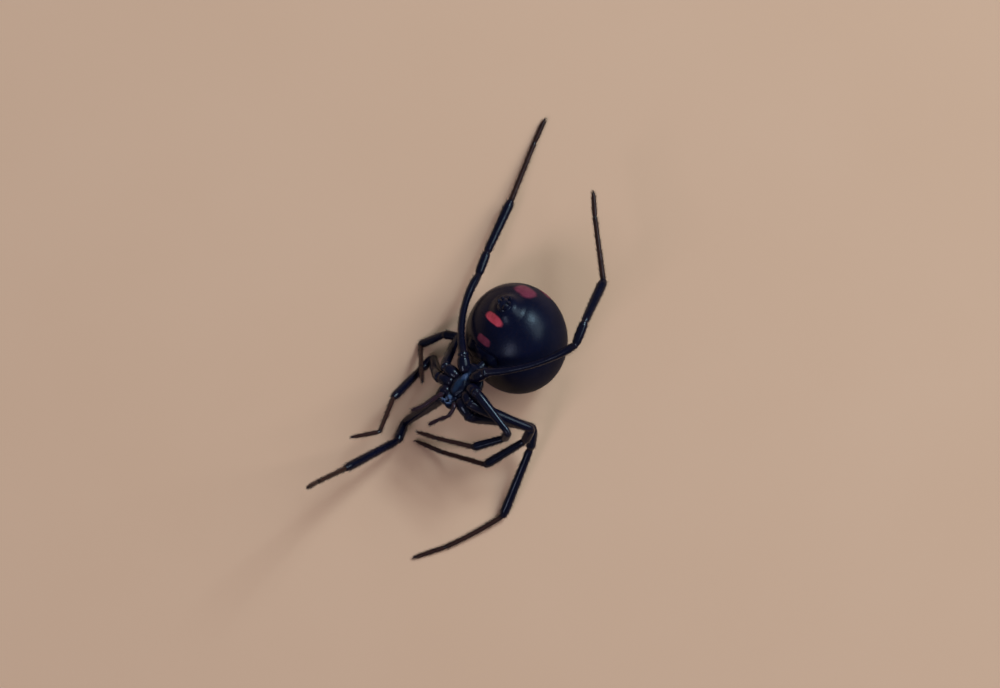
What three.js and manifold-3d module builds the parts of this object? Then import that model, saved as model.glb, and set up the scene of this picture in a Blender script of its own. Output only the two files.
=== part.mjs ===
// Black widow spider, an adult female, as a still life-size model. Millimetres, +Z up.
//
// The spider lies belly up on a flat surface, rolled a little towards its left side: the abdomen, three
// joints of the left legs and the right front foot rest at z = 0. X runs to the right of the picture that
// it is seen in from above, and Y up that picture. The origin is the middle of the small flat that the
// abdomen rests on.
//
// Directions are a heading, in degrees anticlockwise from +X, and a pitch, in degrees above the horizontal.
import * as THREE from 'three';
import { mergeVertices } from 'three/addons/utils/BufferGeometryUtils.js';
import Module from 'manifold-3d';

const wasm = await Module();
wasm.setup();

// Pieces that touch in life keep this much air between them.
const GAP = 0.3;

// Abdomen: an egg, longest from its front hump down to the spinnerets.
const ABDOMEN_LENGTH = 8.3;
const ABDOMEN_WIDTH = 8.0;
const ABDOMEN_HEIGHT = 7.1;
const ABDOMEN_SLOPE = 28;
const ABDOMEN_POSE = { heading: 238.5, pitch: -13, roll: 36 };
const ABDOMEN_CENTRE = [0.42, 0.27, 3.7];

// Cephalothorax: its frame starts at the middle of the sternum, the shield between the legs.
const CEPHALOTHORAX_POSE = { heading: 234.5, pitch: -8.5, roll: 36 };
const STERNUM_CENTRE = [-3.87, -3.11, 6.6];
const STERNUM_LENGTH = 2.1;
const STERNUM_WIDTH = 1.5;
const CARAPACE_LENGTH = 3.1;
const CARAPACE_WIDTH = 2.7;
const CARAPACE_RIM = 1.05;
const CARAPACE_TOP = 1.85;
const HEAD_WIDTH = 1.5;
const BODY_THICKNESS = 0.9;

// Legs: length of each segment, from the front pair to the back pair.
const SEGMENT_LENGTHS = [
  { femur: 5.9, patella: 1.8, tibia: 5.7, metatarsus: 4.9, tarsus: 2.4 },
  { femur: 4.95, patella: 1.5, tibia: 4.0, metatarsus: 4.1, tarsus: 2.1 },
  { femur: 3.8, patella: 1.15, tibia: 2.6, metatarsus: 3.1, tarsus: 1.6 },
  { femur: 7.0, patella: 1.8, tibia: 4.3, metatarsus: 4.8, tarsus: 1.85 },
];
const FEMUR_WIDTHS = [0.96, 0.8, 0.64, 0.58];
const SEGMENT_WIDTHS = { coxa: 0.5, patella: 0.64, tibia: 0.62, metatarsus: 0.5, tarsus: 0.48 };

// Where each pair of legs grows from the body: forward of the middle of the sternum, out from the midline
// and down towards the back.
const COXA_ROOTS = [
  [0.95, 0.98, 0.35],
  [0.3, 1.06, 0.35],
  [-0.35, 1.0, 0.35],
  [-0.98, 0.75, 0.35],
];

// Pose of each leg: the hip, where the femur starts, measured as the coxa roots are, then the heading and
// pitch of the femur, patella, tibia, metatarsus and tarsus. bow is how far the femur bends to its left.
const LEG_POSES = {
  right_1: {
    hip: [1.43, 1.84, 1.07],
    turns: [[349.5, -36], [262, -34], [248, -17], [208.5, -3.5], [198.5, -1.5]],
  },
  right_2: {
    hip: [0.53, 1.88, 0.26],
    turns: [[338, -14.5], [242.5, -47.5], [211.5, -31], [164, -33.5], [157, -15.5]],
  },
  right_3: {
    hip: [-0.44, 1.84, 0],
    turns: [[308.5, 9], [235, -62], [196, -26], [166.5, -24.5], [162.5, -23]],
  },
  right_4: {
    hip: [-2.1, 1.5, 0],
    turns: [[17, 12], [68.5, -6], [65, -38.5], [97.5, -3], [93.5, -5.5]],
    bow: -0.45,
  },
  left_1: {
    hip: [1.72, 1.02, 0.68],
    turns: [[214.5, -55.5], [250, 40], [208, 40], [205.5, 62], [209, 72]],
  },
  left_2: {
    hip: [0.63, 2.13, 0.37],
    turns: [[108, -73], [225, 46], [225.5, 40], [248.5, 48.5], [191, 3]],
  },
  left_3: {
    hip: [-0.32, 2.03, 0.08],
    turns: [[66, -51], [171, -27], [203.5, -42.5], [272, 57.5], [275, 48]],
  },
  left_4: {
    hip: [-1.95, 1.3, 0.07],
    turns: [[79, -32], [69.5, -12.5], [65, -12.5], [68, -8], [66, -5.5]],
    bow: 0.57,
  },
};

// Palps: their joints, measured as the coxa roots are, from the jaw plate to the tip.
const PALP_WIDTH = 0.42;
const PALP_JOINTS = {
  right: [[1.3, 0.66, 0.1], [1.6, 0.93, 0.08], [2.32, 0.82, 0.26], [3.1, 0.1, 0.45], [3.85, -0.42, 0.55]],
  left: [[1.3, 0.66, -0.02], [1.6, 0.85, -0.12], [2.2, 0.98, -0.12], [2.98, 1.37, -0.06],
    [3.74, 1.95, -0.15]],
};

// Outlines of the segments: part of the length, then part of the half width there.
const SEGMENT_SHAPES = {
  coxa: [[0, 0.92], [0.45, 1.2], [0.85, 1.25], [1, 1.15]],
  femur: [[0, 0.72], [0.12, 0.94], [0.3, 1], [0.7, 0.84], [0.93, 0.76], [1, 0.76]],
  patella: [[0, 0.85], [0.35, 0.95], [0.75, 1], [1, 0.85]],
  tibia: [[0, 0.96], [0.25, 1], [0.75, 0.96], [0.92, 1.04], [1, 0.92]],
  metatarsus: [[0, 1], [0.4, 1], [0.9, 0.98], [1, 0.92]],
  tarsus: [[0, 0.95], [0.5, 0.98], [0.85, 0.66], [1, 0.3]],
  palp: [[0, 0.9], [0.6, 1], [1, 0.9]],
};
const LEG_SIDES = 8;

const COLOURS = {
  abdomen: { color: 0x0b0b12, roughness: 0.12, metalness: 0 },
  body: { color: 0x12121b, roughness: 0.2, metalness: 0 },
  leg: { color: 0x15131c, roughness: 0.22, metalness: 0 },
  foot: { color: 0x46271f, roughness: 0.32, metalness: 0 },
};

const vector = (x, y, z) => new THREE.Vector3(x, y, z);

function heading(headingDegrees, pitchDegrees) {
  const turn = THREE.MathUtils.degToRad(headingDegrees);
  const lift = THREE.MathUtils.degToRad(pitchDegrees);
  return vector(Math.cos(lift) * Math.cos(turn), Math.cos(lift) * Math.sin(turn), Math.sin(lift));
}

// Frame of a body part that lies belly up: x is forward, y to the animal's left and z towards its back.
// With no roll the belly faces straight up. The roll turns the belly away from the right side.
function bodyFrame(pose, centre) {
  const forward = heading(pose.heading, pose.pitch);
  const belly = vector(0, 0, 1).addScaledVector(forward, -forward.z).normalize();
  belly.applyAxisAngle(forward, THREE.MathUtils.degToRad(pose.roll));
  const back = belly.clone().negate();
  const left = back.clone().cross(forward);
  const frame = new THREE.Group();
  frame.quaternion.setFromRotationMatrix(new THREE.Matrix4().makeBasis(forward, left, back));
  frame.position.set(...centre);
  frame.updateMatrixWorld(true);
  return frame;
}

// One closed surface with shared corners and its faces pointing out.
function welded(geometry) {
  const plain = new THREE.BufferGeometry();
  plain.setAttribute('position', geometry.getAttribute('position').clone());
  plain.setIndex(geometry.getIndex() ? geometry.getIndex().clone() : null);
  const merged = mergeVertices(plain, 1e-4);
  const place = merged.getAttribute('position');
  const corners = merged.getIndex().array;
  const faces = [];
  let volume = 0;
  for (let i = 0; i < corners.length; i += 3) {
    const [a, b, c] = [corners[i], corners[i + 1], corners[i + 2]];
    if (a === b || b === c || c === a) continue;
    faces.push(a, b, c);
    const [p, q, r] = [a, b, c].map((k) => vector(0, 0, 0).fromBufferAttribute(place, k));
    volume += p.dot(q.cross(r));
  }
  if (volume < 0) faces.reverse();
  return { vertProperties: new Float32Array(place.array), triVerts: new Uint32Array(faces) };
}

const solid = (geometry) => new wasm.Manifold(new wasm.Mesh({ numProp: 3, ...welded(geometry) }));

// All the pieces as one body. What the join leaves loose or sealed inside is dropped.
function fused(geometries) {
  const whole = geometries.map(solid).reduce((sum, piece) => sum.add(piece));
  return whole.decompose().reduce((best, piece) => (piece.volume() > best.volume() ? piece : best));
}

// The body with a small flat wherever it reaches below z = 0 of the surface that the spider lies on.
// toLocal turns the surface's own coordinates into those of the body.
function rested(body, toLocal = new THREE.Matrix4()) {
  const below = new THREE.BoxGeometry(100, 100, 20).translate(0, 0, -10).applyMatrix4(toLocal);
  return body.subtract(solid(below));
}

function surface(body) {
  const { vertProperties, triVerts } = body.getMesh();
  const geometry = new THREE.BufferGeometry();
  geometry.setAttribute('position', new THREE.BufferAttribute(new Float32Array(vertProperties), 3));
  geometry.setIndex(new THREE.BufferAttribute(new Uint32Array(triVerts), 1));
  const facets = geometry.toNonIndexed();
  facets.computeVertexNormals();
  return facets;
}

function named(name, body, finish) {
  const mesh = new THREE.Mesh(surface(body), new THREE.MeshStandardMaterial(COLOURS[finish]));
  mesh.name = name;
  return mesh;
}

// An ellipsoid by its full length, width and height.
function ellipsoid(size, centre, around = 16, down = 10) {
  const shape = new THREE.SphereGeometry(0.5, around, down);
  return shape.scale(...size).translate(...centre);
}

// A spindle round the line between two joints. Its start is flat, start mm past the first joint, or where
// start is null a dome round that joint. Its end is a dome round the second joint, or flat at a tip.
function segment(from, to, width, shape, { start = null, tip = false, bow = 0, sides = LEG_SIDES } = {}) {
  const along = to.clone().sub(from);
  const length = along.length();
  const radius = (part) => part * width * 0.5;
  const first = start ?? 0;
  const outline = shape.map(([part, wide]) => [radius(wide), first + part * (length - first)]);
  const [r0, r1] = [outline[0][0], outline[outline.length - 1][0]];
  if (start === null) {
    outline.unshift([0, -r0], [r0 * 0.75, -r0 * 0.65]);
  } else {
    outline.unshift([0, first]);
  }
  if (tip) {
    outline.push([0, length]);
  } else {
    outline.push([r1 * 0.75, length + r1 * 0.65], [0, length + r1]);
  }
  const points = outline.map(([across, height]) => new THREE.Vector2(across, height));
  const spindle = new THREE.LatheGeometry(points, sides);
  const turn = new THREE.Quaternion().setFromUnitVectors(vector(0, 1, 0), along.clone().normalize());
  spindle.applyQuaternion(turn);
  if (bow !== 0) bend(spindle, along, bow);
  return spindle.translate(from.x, from.y, from.z);
}

// Moves a shape that starts at the origin sideways, to the left of its run, most at the middle of it.
function bend(geometry, along, bow) {
  const place = geometry.getAttribute('position');
  const left = vector(0, 0, 1).cross(along).normalize();
  const point = vector(0, 0, 0);
  for (let i = 0; i < place.count; i += 1) {
    point.fromBufferAttribute(place, i);
    const part = THREE.MathUtils.clamp(point.dot(along) / along.lengthSq(), 0, 1);
    point.addScaledVector(left, 4 * bow * part * (1 - part));
    place.setXYZ(i, point.x, point.y, point.z);
  }
}

// Abdomen, with the two lung covers beside the waist and the low mound that carries the spinnerets.
const MOUND = { angle: 38, width: 2.6, rise: 0.22 };
const LUNG_COVER = { angle: 36, spread: 17, length: 1.5, width: 1.1, thickness: 0.5 };

// The egg's own axes, inside the abdomen's frame, and where its surface is in a direction.
const eggTurn = new THREE.Quaternion().setFromAxisAngle(
  vector(0, 1, 0), THREE.MathUtils.degToRad(-ABDOMEN_SLOPE));
const eggHalf = vector(ABDOMEN_LENGTH / 2, ABDOMEN_WIDTH / 2, ABDOMEN_HEIGHT / 2);

function eggSurface(direction) {
  const own = direction.clone().applyQuaternion(eggTurn.clone().invert()).divide(eggHalf);
  return direction.clone().multiplyScalar(1 / own.length());
}

// A direction from the middle of the abdomen: degrees forward from straight down at the belly, then
// degrees to the animal's left.
function bellyDirection(forwardDegrees, leftDegrees = 0) {
  const forward = THREE.MathUtils.degToRad(forwardDegrees);
  const left = THREE.MathUtils.degToRad(leftDegrees);
  return vector(Math.sin(forward) * Math.cos(left), Math.sin(left), -Math.cos(forward) * Math.cos(left));
}

function abdomen(frame) {
  const egg = new THREE.SphereGeometry(1, 28, 20).rotateZ(-Math.PI / 2);
  egg.scale(eggHalf.x, eggHalf.y, eggHalf.z).applyQuaternion(eggTurn);
  const pieces = [egg];
  const top = eggSurface(bellyDirection(-MOUND.angle));
  const mound = top.clone().setLength(top.length() + MOUND.rise - MOUND.width / 2);
  pieces.push(new THREE.SphereGeometry(MOUND.width / 2, 18, 12).translate(mound.x, mound.y, mound.z));
  for (const side of [1, -1]) {
    const out = bellyDirection(LUNG_COVER.angle, side * LUNG_COVER.spread);
    const cover = ellipsoid([LUNG_COVER.width, LUNG_COVER.thickness, LUNG_COVER.length], [0, 0, 0], 10, 8);
    cover.applyQuaternion(new THREE.Quaternion().setFromUnitVectors(vector(0, 1, 0), out));
    const seat = eggSurface(out).multiplyScalar(0.985);
    pieces.push(cover.translate(seat.x, seat.y, seat.z));
  }
  return named('abdomen', rested(fused(pieces), frame.matrixWorld.clone().invert()), 'abdomen');
}

// Spinnerets: two pairs of short cones and the pair between them, on one plate, with the little tail
// tubercle behind.
const SPINNERETS = { plate: 0.5, cones: [
  { forward: 0.24, left: 0.2, length: 0.62, width: 0.36, lean: 0.1 },
  { forward: -0.2, left: 0.2, length: 0.56, width: 0.32, lean: 0.08 },
  { forward: 0.02, left: 0.11, length: 0.4, width: 0.22, lean: 0 },
] };

function spinnerets() {
  const out = bellyDirection(-MOUND.angle);
  const seat = eggSurface(out).setLength(eggSurface(out).length() + MOUND.rise + GAP);
  const forward = vector(0, 1, 0).cross(out).normalize().negate();
  const left = vector(0, 1, 0);
  const cone = (x, y, length, width, lean, shape) => {
    const root = seat.clone().addScaledVector(forward, x).addScaledVector(left, y);
    const tip = root.clone().addScaledVector(out, length).addScaledVector(left, Math.sign(y) * lean);
    return segment(root, tip, width, shape, { start: 0, tip: true, sides: 8 });
  };
  const taper = [[0, 1], [0.6, 0.86], [1, 0.5]];
  const pieces = [cone(0, 0, 0.2, 2 * SPINNERETS.plate, 0, [[0, 1], [1, 0.85]])];
  for (const { forward: x, left: y, length, width, lean } of SPINNERETS.cones) {
    pieces.push(cone(x, y, length, width, lean, taper), cone(x, -y, length, width, lean, taper));
  }
  pieces.push(cone(-0.42, 0, 0.42, 0.3, 0, taper));
  return named('spinnerets', fused(pieces), 'body');
}

// Outline of the sternum: square in front, widest by the second legs and pointed behind.
function sternumPlate() {
  const half = STERNUM_WIDTH / 2;
  const front = STERNUM_LENGTH / 2;
  const outline = new THREE.Shape();
  outline.moveTo(front, half * 0.45);
  outline.quadraticCurveTo(front * 0.6, half, front * 0.2, half);
  outline.quadraticCurveTo(-front * 0.6, half * 0.8, -front, half * 0.12);
  outline.lineTo(-front, -half * 0.12);
  outline.quadraticCurveTo(-front * 0.6, -half * 0.8, front * 0.2, -half);
  outline.quadraticCurveTo(front * 0.6, -half, front, -half * 0.45);
  const plate = new THREE.ExtrudeGeometry(outline, {
    depth: 0.2, curveSegments: 4, bevelThickness: 0.1, bevelSize: 0.1, bevelOffset: -0.1, bevelSegments: 1,
  });
  return plate.translate(0, 0, 0.1);
}

// Eyes: two rows of four on the front of the head, as forward, out and towards the back.
const EYES = [[1.52, 0.16, 1.3], [1.42, 0.42, 1.22], [1.36, 0.17, 1.56], [1.26, 0.44, 1.46]];
const EYE_SIZE = 0.22;

// Cephalothorax: the domed carapace, the sternum, the core between them, the lip, the eyes, and the waist
// that reaches back to the abdomen.
function cephalothorax(frame, abdomenFrame) {
  const dome = CARAPACE_TOP - CARAPACE_RIM;
  const carapace = fused([
    ellipsoid([CARAPACE_LENGTH, CARAPACE_WIDTH, 2 * dome], [0.1, 0, CARAPACE_RIM], 18, 12),
    ellipsoid([1.9, HEAD_WIDTH, 2 * dome], [0.75, 0, CARAPACE_RIM], 14, 10),
  ]);
  const under = new THREE.BoxGeometry(6, 6, 4).translate(0, 0, CARAPACE_RIM - 2);
  const shell = surface(carapace.subtract(solid(under)));
  const core = ellipsoid([2.3, BODY_THICKNESS, 1.7], [0, 0, 0.7], 12, 8);
  const lip = ellipsoid([0.6, 0.5, 0.4], [1.0, 0, 0.15], 8, 6);
  const pieces = [shell, core, sternumPlate(), lip];
  for (const [forward, out, back] of EYES) {
    for (const side of [1, -1]) {
      pieces.push(ellipsoid([EYE_SIZE, EYE_SIZE, EYE_SIZE], [forward, side * out, back], 8, 6));
    }
  }
  const waistStart = vector(-0.9, 0, 0.55);
  const target = frame.worldToLocal(abdomenFrame.position.clone());
  const toAbdomen = target.clone().sub(waistStart).normalize();
  const outward = toAbdomen.clone().negate().applyQuaternion(frame.quaternion)
    .applyQuaternion(abdomenFrame.quaternion.clone().invert());
  const reach = target.distanceTo(waistStart) - eggSurface(outward).length() - 1.4 * GAP;
  const waistEnd = waistStart.clone().addScaledVector(toAbdomen, reach);
  pieces.push(segment(waistStart, waistEnd, 0.5, [[0, 1], [1, 1]], { start: 0, tip: true }));
  return named('cephalothorax', fused(pieces), 'body');
}

// Jaws: each a stout basal segment that hangs from the front of the head, with its fang folded in.
const JAW = { root: [1.74, 0.29, 0.62], tip: [1.7, 0.28, -0.16], width: 0.36 };

function chelicera(side) {
  const [root, tip] = [JAW.root, JAW.tip].map(([x, y, z]) => vector(x, side * y, z));
  const basal = segment(root, tip, JAW.width, [[0, 0.9], [0.4, 1], [1, 0.7]], { start: 0 });
  const fangTip = vector(tip.x - 0.18, side * 0.16, tip.z - 0.1);
  const fang = segment(tip, fangTip, 0.16, [[0, 1], [1, 0.4]], { tip: true, sides: 6 });
  return named(side > 0 ? 'chelicera_left' : 'chelicera_right', fused([basal, fang]), 'body');
}

function palp(name, side) {
  const joints = PALP_JOINTS[name].map(([x, y, z]) => vector(x, side * y, z));
  const pieces = joints.slice(1).map((joint, i) => segment(joints[i], joint, PALP_WIDTH,
    i === joints.length - 2 ? SEGMENT_SHAPES.tarsus : SEGMENT_SHAPES.palp,
    { start: null, tip: i === joints.length - 2 }));
  return named(`palp_${name}`, fused(pieces), 'foot');
}

// Leg: the coxa, femur and patella are one node, the tibia the next and the foot the last. Each node ends
// in a dome round its last joint, and the next one starts flat, a gap past that dome, or a little more
// where the leg turns sharply.
function leg(name, frame) {
  const [sideName, pair] = name.split('_');
  const side = sideName === 'left' ? 1 : -1;
  const { hip, turns, bow = 0 } = LEG_POSES[name];
  const [root, start] = [COXA_ROOTS[pair - 1], hip].map(([x, y, z]) =>
    frame.localToWorld(vector(x, side * y, z)));
  const runs = turns.map((turn) => heading(...turn));
  const joints = [start];
  Object.values(SEGMENT_LENGTHS[pair - 1]).forEach((length, i) =>
    joints.push(joints[i].clone().addScaledVector(runs[i], length)));
  const [hipJoint, knee, shin, ankle, toe, tip] = joints;
  const widths = { ...SEGMENT_WIDTHS, femur: FEMUR_WIDTHS[pair - 1] };
  const part = (kind, from, to, options) =>
    segment(from, to, widths[kind], SEGMENT_SHAPES[kind], options);
  const clear = (kind, i) => SEGMENT_WIDTHS[kind] * 0.5 * SEGMENT_SHAPES[kind].at(-1)[1]
    + GAP * (1.5 - 0.5 * runs[i - 1].dot(runs[i]));
  const bodies = {
    femur: [
      part('coxa', root, hipJoint, { start: 0 }),
      part('femur', hipJoint, knee, { bow }),
      part('patella', knee, shin),
    ],
    tibia: [part('tibia', shin, ankle, { start: clear('patella', 2) })],
    foot: [
      part('metatarsus', ankle, toe, { start: clear('tibia', 3) }),
      part('tarsus', toe, tip, { tip: true }),
    ],
  };
  return Object.entries(bodies).map(([kind, pieces]) =>
    named(`leg_${name}_${kind}`, rested(fused(pieces)), kind === 'foot' ? 'foot' : 'leg'));
}

const spider = new THREE.Group();
spider.name = 'black_widow_spider';

const abdomenFrame = bodyFrame(ABDOMEN_POSE, ABDOMEN_CENTRE);
abdomenFrame.add(abdomen(abdomenFrame), spinnerets());

const frontFrame = bodyFrame(CEPHALOTHORAX_POSE, STERNUM_CENTRE);
frontFrame.add(cephalothorax(frontFrame, abdomenFrame));
frontFrame.add(chelicera(1), chelicera(-1), palp('left', 1), palp('right', -1));

spider.add(abdomenFrame, frontFrame);
for (const name of Object.keys(LEG_POSES)) spider.add(...leg(name, frontFrame));

export default spider;
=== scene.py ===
"""Black widow spider, an adult female, as a still life-size model that lies belly up in soft studio light.

Lengths are in millimetres and angles in degrees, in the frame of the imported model: +Z up, the floor at
z = 0 and the origin under the abdomen. Meshes are written in metres. Colours are linear.
"""

import bpy
import numpy as np
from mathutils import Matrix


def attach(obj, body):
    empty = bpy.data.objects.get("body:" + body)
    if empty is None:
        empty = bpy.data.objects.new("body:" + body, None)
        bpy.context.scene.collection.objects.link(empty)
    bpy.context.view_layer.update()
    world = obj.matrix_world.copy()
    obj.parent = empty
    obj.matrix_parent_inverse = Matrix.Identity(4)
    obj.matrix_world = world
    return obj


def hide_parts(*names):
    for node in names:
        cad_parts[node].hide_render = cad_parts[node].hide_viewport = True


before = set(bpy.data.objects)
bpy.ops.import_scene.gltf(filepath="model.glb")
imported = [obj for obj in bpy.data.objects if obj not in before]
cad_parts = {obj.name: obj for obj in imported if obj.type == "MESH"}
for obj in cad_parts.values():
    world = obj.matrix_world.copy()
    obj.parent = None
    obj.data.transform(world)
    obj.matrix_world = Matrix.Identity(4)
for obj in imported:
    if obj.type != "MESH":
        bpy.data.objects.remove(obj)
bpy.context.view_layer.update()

MM = 0.001
BODY = "root"
SIDES = {"left": 1, "right": -1}
rng = np.random.default_rng(1863)

# Photograph: its frame in pixels, its scale, and the pixel above the origin
FRAME_PX = (1000, 688)
PX_PER_MM = 13.5
ORIGIN_PX = (510.3, 342.0)

# Poses of the body parts and of each limb, as in the solids or within a tenth of a millimetre of them
ABDOMEN_HALF = (4.2, 4.05, 3.58)
ABDOMEN_SLOPE = 28
ABDOMEN_POSE = (238.5, -13, 36)
ABDOMEN_CENTRE = (0.46, 0.27, 3.7)
FRONT_POSE = (234.5, -8.5, 36)
STERNUM_CENTRE = (-3.87, -3.11, 6.6)
SEGMENTS = ("femur", "patella", "tibia", "metatarsus", "tarsus")
SEGMENT_LENGTHS = {
    1: (5.9, 1.8, 5.7, 4.9, 2.4),
    2: (4.95, 1.5, 4.0, 4.1, 2.1),
    3: (3.8, 1.15, 2.6, 3.1, 1.6),
    4: (7.0, 1.8, 4.3, 4.8, 1.85),
}
COXA_ROOTS = {1: (0.88, 0.86, 0.38), 2: (0.28, 0.92, 0.38), 3: (-0.33, 0.88, 0.38), 4: (-1.05, 0.56, 0.38)}
LEG_POSES = {
    ("right", 1): ((1.43, 1.84, 1.07),
                   ((349.5, -36), (262, -34), (248, -17), (208.5, -3.5), (198.5, -1.5))),
    ("right", 2): ((0.53, 1.88, 0.26),
                   ((338, -14.5), (242.5, -47.5), (211.5, -31), (164, -33.5), (157, -15.5))),
    ("right", 3): ((-0.44, 1.84, 0),
                   ((308.5, 9), (235, -62), (196, -26), (166.5, -24.5), (162.5, -23))),
    ("right", 4): ((-2.1, 1.5, 0),
                   ((17, 12), (68.5, -6), (65, -38.5), (97.5, -3), (93.5, -5.5))),
    ("left", 1): ((1.72, 1.02, 0.68),
                  ((214.5, -55.5), (250, 40), (208, 40), (205.5, 62), (209, 72))),
    ("left", 2): ((0.63, 2.13, 0.37),
                  ((108, -73), (225, 46), (225.5, 40), (248.5, 48.5), (191, 3))),
    ("left", 3): ((-0.32, 2.03, 0.08),
                  ((66, -51), (171, -27), (203.5, -42.5), (272, 57.5), (275, 48))),
    ("left", 4): ((-1.95, 1.3, 0.07),
                  ((79, -32), (69.5, -12.5), (65, -12.5), (68, -8), (66, -5.5))),
}
BOWS = {
    ("right", 1): {"femur": 0.15, "metatarsus": 0.1},
    ("right", 4): {"femur": -0.45},
    ("left", 4): {"femur": 0.57},
}
PALP_JOINTS = {
    "right": ((1.3, 0.66, 0.1), (1.6, 0.93, 0.08), (2.32, 0.82, 0.26), (3.1, 0.1, 0.45),
              (3.85, -0.42, 0.55)),
    "left": ((1.3, 0.64, 0.06), (1.64, 0.8, -0.05), (2.28, 0.99, -0.2), (2.92, 1.24, -0.2),
             (3.74, 1.84, -0.3)),
}
PALP_WIDTHS = (0.36, 0.3, 0.27, 0.29)

# Widths of the limb segments, from the front pair to the back pair
WIDTHS = {
    "coxa": (1.06, 0.98, 0.94, 0.96),
    "trochanter": (1.02, 0.9, 0.86, 0.84),
    "femur": (0.92, 0.84, 0.7, 0.54),
    "patella": (0.7, 0.66, 0.62, 0.66),
    "tibia": (0.62, 0.6, 0.58, 0.66),
    "metatarsus": (0.36, 0.34, 0.33, 0.38),
    "tarsus": (0.32, 0.3, 0.29, 0.34),
}

# Outlines along a segment or a cone: part of its length, then part of its half width there
OUTLINES = {
    "coxa": ((0, 0.84), (0.35, 1), (0.8, 0.92), (1, 0.76)),
    "trochanter": ((0, 0.86), (0.4, 1), (0.85, 0.96), (1, 0.8)),
    "femur": ((0, 0.84), (0.05, 0.96), (0.15, 1), (0.4, 0.94), (0.75, 0.76), (0.95, 0.7), (1, 0.58)),
    "back_femur": ((0, 1.2), (0.08, 1.12), (0.28, 0.94), (0.6, 0.95), (0.9, 1.15), (1, 0.96)),
    "patella": ((0, 0.7), (0.14, 0.92), (0.5, 1), (0.85, 1), (1, 0.8)),
    "tibia": ((0, 0.66), (0.07, 0.86), (0.25, 0.92), (0.6, 1), (0.9, 1.06), (1, 0.8)),
    "metatarsus": ((0, 0.8), (0.05, 1.02), (0.4, 0.96), (0.88, 0.88), (0.96, 0.94), (1, 0.76)),
    "tarsus": ((0, 0.76), (0.06, 0.96), (0.4, 0.98), (0.8, 0.82), (0.95, 0.6), (1, 0.36)),
    "palp": ((0, 0.8), (0.5, 1), (0.9, 0.94), (1, 0.78)),
    "mouth_lobe": ((0, 0.8), (0.3, 1), (0.8, 0.86), (1, 0.6)),
    "waist": ((0, 1), (0.3, 0.86), (0.6, 0.86), (1, 1.1)),
    "jaw": ((0, 0.86), (0.35, 1), (0.8, 0.8), (1, 0.6)),
    "spinneret": ((0, 1.1), (0.3, 1), (0.62, 0.84), (0.68, 0.7), (0.92, 0.52), (1, 0.36)),
    "tail_tubercle": ((0, 1.2), (0.5, 1), (1, 0.4)),
    "spinneret_collar": ((0, 1.05), (0.6, 1), (1, 0.86)),
}
# Depth of the dome that closes each end, as a part of the half width there
END_DOME = 0.7
DOME_RINGS = 6

# Setae on each kind of segment: how many to the millimetre, and their length
SETAE = {
    "coxa": (90, 0.14),
    "trochanter": (60, 0.14),
    "femur": (90, 0.18),
    "patella": (90, 0.2),
    "tibia": (110, 0.22),
    "metatarsus": (110, 0.22),
    "tarsus": (120, 0.2),
}
SETA_RADIUS = 0.008
HAIR_RADIUS = 0.007


def unit(vector):
    """The vector, or each row of an array of them, at length one."""
    vector = np.asarray(vector, float)
    return vector / np.linalg.norm(vector, axis=-1, keepdims=True)


def direction(heading, pitch):
    """Unit vector by its heading, anticlockwise from +X, and its pitch above the horizontal."""
    turn, lift = np.radians([heading, pitch])
    return np.array([np.cos(lift) * np.cos(turn), np.cos(lift) * np.sin(turn), np.sin(lift)])


def on_side(point, side):
    """A point given for the animal's left, mirrored to its right where side is -1."""
    return np.array(point) * np.array([1, side, 1])


def around_once(count):
    """Angles evenly spaced over one turn, the last one short of the first."""
    return np.linspace(0, 2 * np.pi, count, endpoint=False)


def round_rings(rows, around):
    """Unit directions in rings from +x to -x: the cosine of the tilt away from +x, and its sine times the
    cosine and the sine of the turn."""
    tilt = np.linspace(0, np.pi, rows)[:, None]
    turn = around_once(around)[None]
    return np.stack([np.cos(tilt) + 0 * turn, np.sin(tilt) * np.cos(turn), np.sin(tilt) * np.sin(turn)], -1)


class BodyFrame:
    """Axes of a body part that lies belly up: forward, the animal's left, and towards its back.

    With no roll the belly faces straight up; the roll turns it about the forward axis.
    """

    def __init__(self, pose, centre):
        heading, pitch, roll = pose
        forward = direction(heading, pitch)
        belly = unit(np.array([0, 0, 1]) - forward[2] * forward)
        roll = np.radians(roll)
        belly = np.cos(roll) * belly + np.sin(roll) * np.cross(forward, belly)
        self.axes = np.array([forward, np.cross(-belly, forward), -belly])
        self.centre = np.array(centre, float)

    def place(self, local):
        """Points given as forward, left and towards the back, in the model's frame."""
        return self.centre + np.asarray(local, float) @ self.axes

    def turn(self, local):
        """Directions given as forward, left and towards the back, in the model's frame."""
        return np.asarray(local, float) @ self.axes


ABDOMEN = BodyFrame(ABDOMEN_POSE, ABDOMEN_CENTRE)
FRONT = BodyFrame(FRONT_POSE, STERNUM_CENTRE)


def eased(knots, place):
    """Smooth curve through knots of (place, value): a cubic between each two, with slopes that never
    overshoot, being the harmonic mean of the slopes on both sides of a knot."""
    x, y = np.array(knots, float).T
    step = np.diff(x)
    rise = np.diff(y) / step
    slope = np.concatenate([rise[:1], np.zeros(len(x) - 2), rise[-1:]])
    agree = rise[:-1] * rise[1:] > 0
    slope[1:-1][agree] = (2 * rise[:-1] * rise[1:] / (rise[:-1] + rise[1:] + 1e-12))[agree]
    k = np.clip(np.searchsorted(x, place) - 1, 0, len(x) - 2)
    s = np.clip((place - x[k]) / step[k], 0, 1)
    return (y[k] * (1 + 2 * s) * (1 - s) ** 2 + y[k + 1] * s * s * (3 - 2 * s)
            + step[k] * slope[k] * s * (1 - s) ** 2 - step[k] * slope[k + 1] * s * s * (1 - s))


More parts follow.
